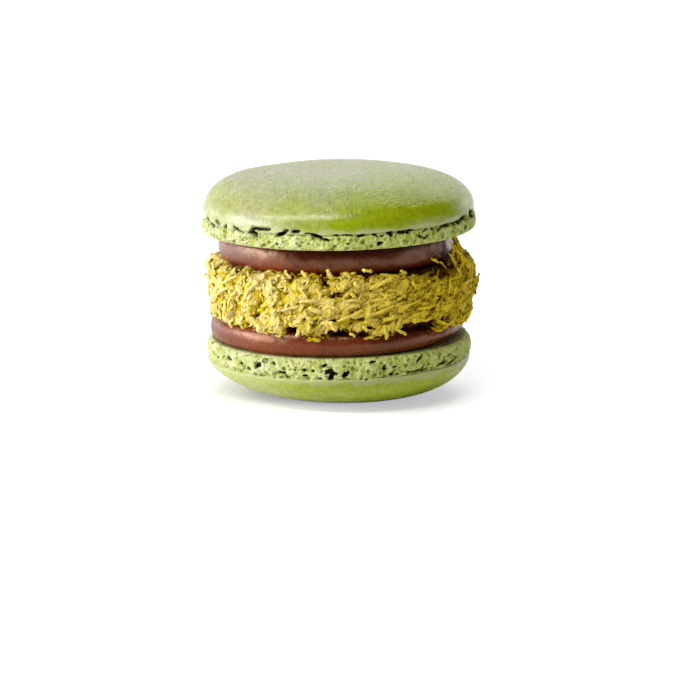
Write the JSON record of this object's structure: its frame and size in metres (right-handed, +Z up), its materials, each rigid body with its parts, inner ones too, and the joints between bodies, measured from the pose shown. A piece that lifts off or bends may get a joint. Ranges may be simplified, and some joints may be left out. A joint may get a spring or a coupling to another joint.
{
  "type": "french macaron",
  "caption": "Round sandwich biscuit of domed almond shells on ruffled feet, filled with chocolate ganache and a thick layer of shredded pastry in pistachio cream.",
  "frame": {"origin": "on the floor, in the middle of the stack, inside the small flat spot that the lower shell rests on", "axes": "+Z up through the layers; -Y towards the front that shows best; +X to the right of it"},
  "size_m": [0.0503, 0.05, 0.041],
  "materials": {
    "shell": "satin",
    "ganache": "satin",
    "pastry": "matte"
  },
  "bodies": {
    "root": {"lower_shell": "shell", "lower_ganache": "ganache", "shredded_pastry": "pastry", "upper_ganache": "ganache", "upper_shell": "shell"}
  },
  "joints": []
}
